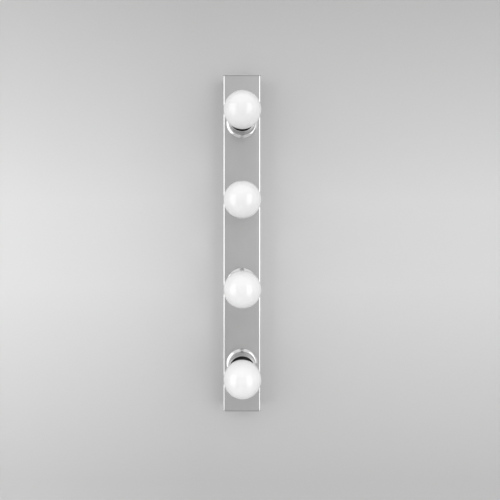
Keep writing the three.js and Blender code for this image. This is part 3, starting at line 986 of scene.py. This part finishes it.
def lamp_cap(number):
    inner = CAP.radius - CAP.sheet
    floor = CAP.bottom + CAP.sheet
    shoulder = 2 * CAP.edge
    wave = thread_wave(CAP.thread_from, CAP.thread_to, THREAD.pitch, THREAD.depth)
    outside = climb(CAP.radius, CAP.bend_top, CAP.top - shoulder, steps=90)
    inside = climb(inner, CAP.top - shoulder, CAP.bend_top + shoulder, steps=90)
    profile = [
        (CAP.hole, floor), (CAP.hole, CAP.bottom), (CAP.bend_start, CAP.bottom + CAP.edge / 2),
        (CAP.bend_radius, CAP.bottom + 3 * CAP.edge), *outside, (CAP.radius - CAP.edge, CAP.top),
        (inner + CAP.edge, CAP.top), *inside, (CAP.bend_inside, floor + CAP.edge),
    ]
    made = lathe(f"cap_{number}", profile, ["nickel_brass"], swell=lambda r, h, a: wave(h, a))
    return finish(at_station(made, number), f"lamp_{number}", "nickel_brass", f"lamp_cap_{number}")


def lamp_contact(number):
    """The lamp's end contact, a tinned button in a black glass bead."""
    button = [
        (0, CONTACT.tip), (CONTACT.flat, CONTACT.flat_height), (CONTACT.button, CONTACT.button_height),
        (CONTACT.edge, CONTACT.edge_height),
    ]
    bead = rounded([
        (CONTACT.collar, CONTACT.bead_foot, SHARP),
        (CONTACT.bead_radius, CONTACT.bead_side, CONTACT.bead_edge),
        (CONTACT.bead_radius, CONTACT.bead_top, FINE), (0, CONTACT.bead_top, SHARP),
    ])
    made = lathe(f"end_contact_{number}", [*button, *bead], ["lamp_contact", "black_glass"])
    foot = -CONTACT.bead_foot * MM
    give_second_material(made, lambda face: face.center.y < foot)
    at_station(made, number)
    return finish(made, f"lamp_{number}_travel", "lamp_contact", f"lamp_contact_{number}")


def led_board(number):
    """A round board with two rings of LEDs."""
    profile = rounded([
        (0, BOARD.foot, SHARP), (BOARD.radius, BOARD.foot, FINE), (BOARD.radius, BOARD.top, FINE),
        (0, BOARD.top, SHARP),
    ])
    made = lathe(f"board_{number}", profile, ["led_board", "led_phosphor"])
    chips = []
    for ring_radius, count in CHIP_RINGS.items():
        for spot in arc(0, 0, ring_radius, start=0, end=360 - 360 / count, steps=count - 1):
            low = (spot.x - CHIP.width / 2, -BOARD.top - CHIP.height, spot.y - CHIP.length / 2)
            high = (spot.x + CHIP.width / 2, CHIP.sunk - BOARD.top, spot.y + CHIP.length / 2)
            chip = block(f"chip_{len(chips)}", low, high, ["led_board", "led_phosphor"])
            give_second_material(chip, faces_out)
            chips.append(chip)
    combine(made, chips, "UNION")
    return finish(at_station(made, number), f"lamp_{number}", "led_board", f"led_board_{number}")


# ---- Wiring gear --------------------------------------------------------------------------------
def cable_bushing():
    profile = rounded([
        (BUSHING.passage, GAP, BUSHING.foot_edge), (BUSHING.sleeve, GAP, EASED),
        (BUSHING.sleeve, BUSHING.foot, FINE), (BUSHING.flange, BUSHING.foot, EASED),
        (BUSHING.flange, BUSHING.top, BUSHING.flange_edge),
        (BUSHING.passage, BUSHING.top, BUSHING.mouth_edge),
    ])
    made = lathe("bushing_body", profile, ["bushing_rubber"])
    stand(made, 0, middle_mm("cable_bushing").z)
    return finish(made, "fixture", "bushing_rubber", "cable_bushing")


def well_places():
    """The (x, z) of the terminal block's screw wells, two on each pole."""
    middle = middle_mm("terminal_block").z
    return [(pole * BLOCK.pitch, middle + side * BLOCK.well_offset) for pole in POLES for side in (1, -1)]


def terminal_outline(low, high):
    """The block's section, with a ridge on each pole."""
    floor = -BLOCK.valley
    ridges = []
    for pole in POLES:
        left = pole * BLOCK.pitch - BLOCK.ridge
        right = pole * BLOCK.pitch + BLOCK.ridge
        ridges += [
            (left, floor, EASED), (left, low.y, BLOCK.ridge_edge),
            (right, low.y, BLOCK.ridge_edge), (right, floor, EASED),
        ]
    return rounded([
        (low.x, high.y, BLOCK.foot_edge), (low.x, floor, BLOCK.valley_edge), *ridges,
        (high.x, floor, BLOCK.valley_edge), (high.x, high.y, BLOCK.foot_edge),
    ])


def terminal_tools(low, high):
    """What is cut out of the block: a bore along each pole, its two screw wells, and a fixing hole."""
    bore_ends = (low.z - PAST, high.z + PAST)
    tools = [
        rod(f"bore_{pole}", BLOCK.bore, (pole * BLOCK.pitch, -BLOCK.bore_depth), "Z", bore_ends)
        for pole in POLES
    ]
    well_ends = (low.y - PAST, -BLOCK.bore_depth)
    tools += [rod(f"well_{x}_{z}", BLOCK.well, (x, z), "Y", well_ends) for x, z in well_places()]
    fixing = (middle_mm("terminal_block_screw").x, middle_mm("terminal_block").z)
    tools.append(rod("fixing_hole", BLOCK.hole, fixing, "Y", (low.y - PAST, high.y + PAST)))
    return tools


def terminal_block():
    """Three poles side by side, for the live, earth and neutral wires."""
    low, high = box_mm("terminal_block")
    outline = terminal_outline(low, high)
    made = prism("terminal_body", outline, (low.z, high.z), ["terminal_nylon"])
    combine(made, terminal_tools(low, high), "DIFFERENCE")
    soften(made, width=0.25)
    return finish(made, "fixture", "terminal_nylon", "terminal_block")


def terminal_sleeves():
    """A brass tube in each of the terminal block's bores."""
    low, high = box_mm("terminal_block")
    ends = (low.z + SLEEVE.setback, high.z - SLEEVE.setback)
    for number, pole in enumerate(POLES, 1):
        line = (pole * BLOCK.pitch, -BLOCK.bore_depth)
        made = rod(f"terminal_sleeve_{number}", SLEEVE.radius, line, "Z", ends, ["nickel_brass"])
        combine(made, [rod("sleeve_bore", SLEEVE.bore, line, "Z", (low.z, high.z))], "DIFFERENCE")
        finish(made, "fixture", "nickel_brass")


def clamp_screws():
    """A slotted screw in each well of the terminal block."""
    for number, (x, z) in enumerate(well_places(), 1):
        made = rod(f"clamp_screw_{number}", CLAMP.radius, (x, z), "Y", (-CLAMP.front, -CLAMP.back))
        slot_low = (x - CLAMP.slot_reach, -CLAMP.front - PAST, z - CLAMP.slot)
        slot_high = (x + CLAMP.slot_reach, CLAMP.slot_depth - CLAMP.front, z + CLAMP.slot)
        combine(made, [block("clamp_slot", slot_low, slot_high)], "DIFFERENCE")
        soften(made, width=0.15)
        finish(made, "fixture", "zinc_steel")


# ---- The whole bar ------------------------------------------------------------------------------
STATION_PIECES = (
    cup, lampholder, lampholder_nut, lampholder_shell, lampholder_contact, globe, lamp_collar, lamp_cap,
    lamp_contact, led_board,
)
for station in LAMPS:
    for make in STATION_PIECES:
        make(station)
front_channel()
for where, side in ENDS.items():
    end_cap(where, side)
    cover_screw(where, side)
wall_plate()
cable_bushing()
terminal_block()
terminal_sleeves()
clamp_screws()
plate_screw("terminal_block_screw", BLOCK_SCREW)
plate_screw("earth_screw", EARTH_SCREW)

# Each CAD node takes its slot's finish. The wires are the ones that keep their CAD shape.
for row in frame["record"]["subparts"]:
    node = frame["nodes"][row["node"]]
    node.data.materials.clear()
    node.data.materials.append(MATERIALS[row["material_slot"]])


# ---- Stage, lights and camera, in metres --------------------------------------------------------
STAGE_HALF = 6
FLOOR = -1.5
WALL_Y = -0.0006  # just in front of the channel's back edges, so that the back is lit from behind
SOFTBOX_DISTANCE = 2.2
CAMERA = Sizes(place=(-0.0062, -0.832, 0.0184), lens=32.33, sensor=36, shift_x=0.023, shift_y=-0.034)


def see_through_from_behind(shader):
    """Let the camera see through a plane's back, which is hidden to nothing else."""
    behind = shader.add("ShaderNodeNewGeometry").outputs["Backfacing"]
    camera_ray = shader.add("ShaderNodeLightPath").outputs["Is Camera Ray"]
    clear = shader.add("ShaderNodeBsdfTransparent")
    mix = shader.add("ShaderNodeMixShader")
    shader.join(shader.maths("MULTIPLY", behind, camera_ray), mix.inputs["Fac"])
    shader.join(shader.surface.outputs["BSDF"], mix.inputs[1])
    shader.join(clear.outputs["BSDF"], mix.inputs[2])
    shader.join(mix.outputs["Shader"], shader.output.inputs["Surface"])


def paint(name, tone):
    """Pale matt paint, a little uneven. tone makes its factor from black to white, and carries
    painted light falloff and painted shade.
    """
    shader = Shader(name)
    uneven = shader.spread(shader.noise(1.2), low=0.985, high=1.015, start=0.2, end=0.8)
    level = shader.maths("MULTIPLY", tone(shader), uneven)
    grey = shader.ramp(level, low=0.0, high=1.0, start=0.0, end=1.0)
    shader.join(grey, shader.surface.inputs["Base Color"])
    shader.set(Roughness=0.9, Specular_IOR_Level=0.1)
    see_through_from_behind(shader)
    return shader.material


def wall_tone_painted_light(shader):
    """The wall's pale paint with painted light falloff: palest behind the bar and to its left, where
    the lamps would light it most, and painted shade towards the top and the bottom.
    """
    place = shader.split(shader.place)
    off_middle = shader.maths("ABSOLUTE", place["Z"], 0)
    upright = shader.spread(off_middle, low=0.635, high=0.475, start=0.08, end=0.44)
    sideways = shader.spread(place["X"], low=1.13, high=1.0, start=-0.42, end=-0.08)
    return shader.maths("MULTIPLY", upright, sideways)


def floor_tone_painted_light(shader):
    """The floor's pale paint with painted light falloff: palest near the wall, and painted shade
    darker away from it, where the lamps' light would fall off.
    """
    place = shader.split(shader.place)
    return shader.spread(place["Y"], low=0.5, high=0.84, start=-3.2, end=-1.0)


def stage_plane(name, corners, material):
    mesh = bpy.data.meshes.new(name)
    mesh.from_pydata(corners, [], [(0, 1, 2, 3)])
    mesh.materials.append(material)
    plane = bpy.data.objects.new(name, mesh)
    bpy.context.scene.collection.objects.link(plane)


def studio():
    start, end = -STAGE_HALF, STAGE_HALF
    wall = [(start, WALL_Y, FLOOR), (end, WALL_Y, FLOOR), (end, WALL_Y, end), (start, WALL_Y, end)]
    floor = [(start, start, FLOOR), (end, start, FLOOR), (end, end, FLOOR), (start, end, FLOOR)]
    # The wall's colour carries painted light falloff and painted shade.
    stage_plane("wall", wall, paint("wall_paint_painted_light", wall_tone_painted_light))
    # The floor's colour carries painted light falloff and painted shade.
    stage_plane("floor", floor, paint("floor_paint_painted_light", floor_tone_painted_light))


def softbox(name, azimuth, width, height, radiance):
    """A tall soft light that faces the bar. Azimuth 0 is straight out of the wall, and plus is right."""
    turn = math.radians(azimuth)
    way = Vector((math.sin(turn), -math.cos(turn), 0))
    lamp = bpy.data.lights.new(name, "AREA")
    lamp.shape = "RECTANGLE"
    lamp.size = width
    lamp.size_y = height
    lamp.energy = radiance * math.pi * width * height
    made = bpy.data.objects.new(name, lamp)
    made.location = way * SOFTBOX_DISTANCE
    made.rotation_euler = way.to_track_quat("Z", "Y").to_euler()
    made.visible_camera = False
    bpy.context.scene.collection.objects.link(made)


def studio_world(level, edge):
    """Soft light all round, that grows from a level in front of the bar to an edge brightness above
    it, below it and at its sides. It grows between two sines of the angle from straight ahead."""
    world = bpy.data.worlds.new("studio")
    world.use_nodes = True
    background = world.node_tree.nodes["Background"]
    background.inputs["Color"].default_value = (1, 1, 1, 1)
    light = Nodes(world.node_tree)
    way = light.split(light.add("ShaderNodeTexCoord").outputs["Generated"])
    side_weight = 0.62  # the sides brighten further out than the top
    up_or_down = light.maths("ABSOLUTE", way["Z"], 0)
    sideways = light.maths("MULTIPLY", light.maths("ABSOLUTE", way["X"], 0), side_weight)
    away = light.maths("MAXIMUM", up_or_down, sideways)
    strength = light.spread(away, low=level, high=edge, start=0.45, end=0.65)
    light.join(strength, background.inputs["Strength"])
    bpy.context.scene.world = world


def front_camera():
    """It looks straight at the wall, and the shift frames the bar."""
    data = bpy.data.cameras.new("camera")
    data.lens = CAMERA.lens
    data.sensor_width = CAMERA.sensor
    data.shift_x = CAMERA.shift_x
    data.shift_y = CAMERA.shift_y
    camera = bpy.data.objects.new("camera", data)
    camera.location = CAMERA.place
    camera.rotation_euler = (math.pi / 2, 0, 0)
    bpy.context.scene.collection.objects.link(camera)
    bpy.context.scene.camera = camera


studio()
softbox("left_softbox", azimuth=-57, width=1.5, height=2.5, radiance=1.26)
softbox("right_softbox", azimuth=41, width=1.25, height=2.4, radiance=1.55)
studio_world(level=0.645, edge=1.12)
front_camera()
bpy.context.scene.view_settings.view_transform = "Standard"
